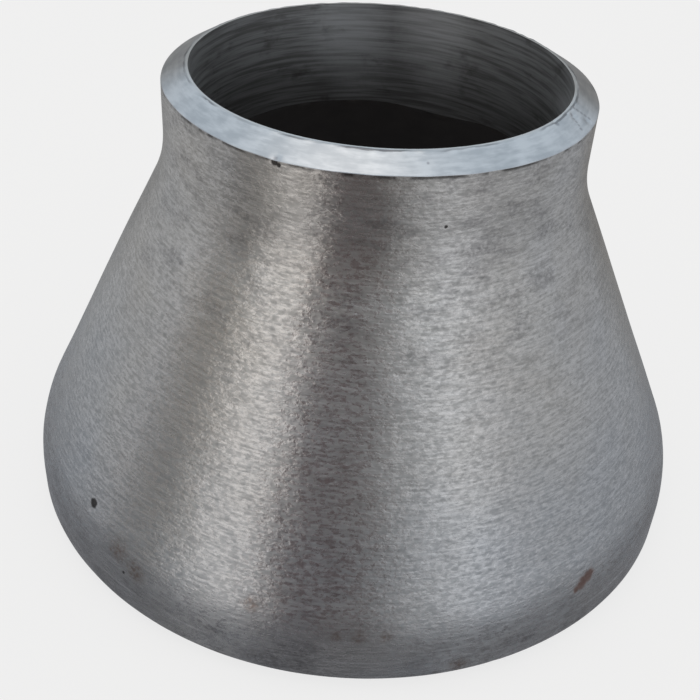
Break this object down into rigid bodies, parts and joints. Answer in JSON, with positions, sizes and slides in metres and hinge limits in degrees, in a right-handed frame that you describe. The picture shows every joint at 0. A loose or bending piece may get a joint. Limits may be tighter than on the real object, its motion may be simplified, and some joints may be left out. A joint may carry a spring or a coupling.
{
  "type": "concentric reducer",
  "caption": "Concentric butt-welding pipe reducer: a seamless steel cone with a bevelled weld end for each of two coaxial pipes of different diameter.",
  "frame": {"origin": "centre of the large end, in the plane of its root face", "axes": "+Z along the pipe axis towards the small end; X and Y are any two directions square to it"},
  "size_m": [0.273, 0.273, 0.178],
  "materials": {
    "linished_steel": "bare carbon steel, satin, with short fine scratches round the axis; turned bright on the weld bevels and in the small end's bore"
  },
  "bodies": {
    "root": {"reducer_body": "linished_steel"}
  },
  "joints": []
}
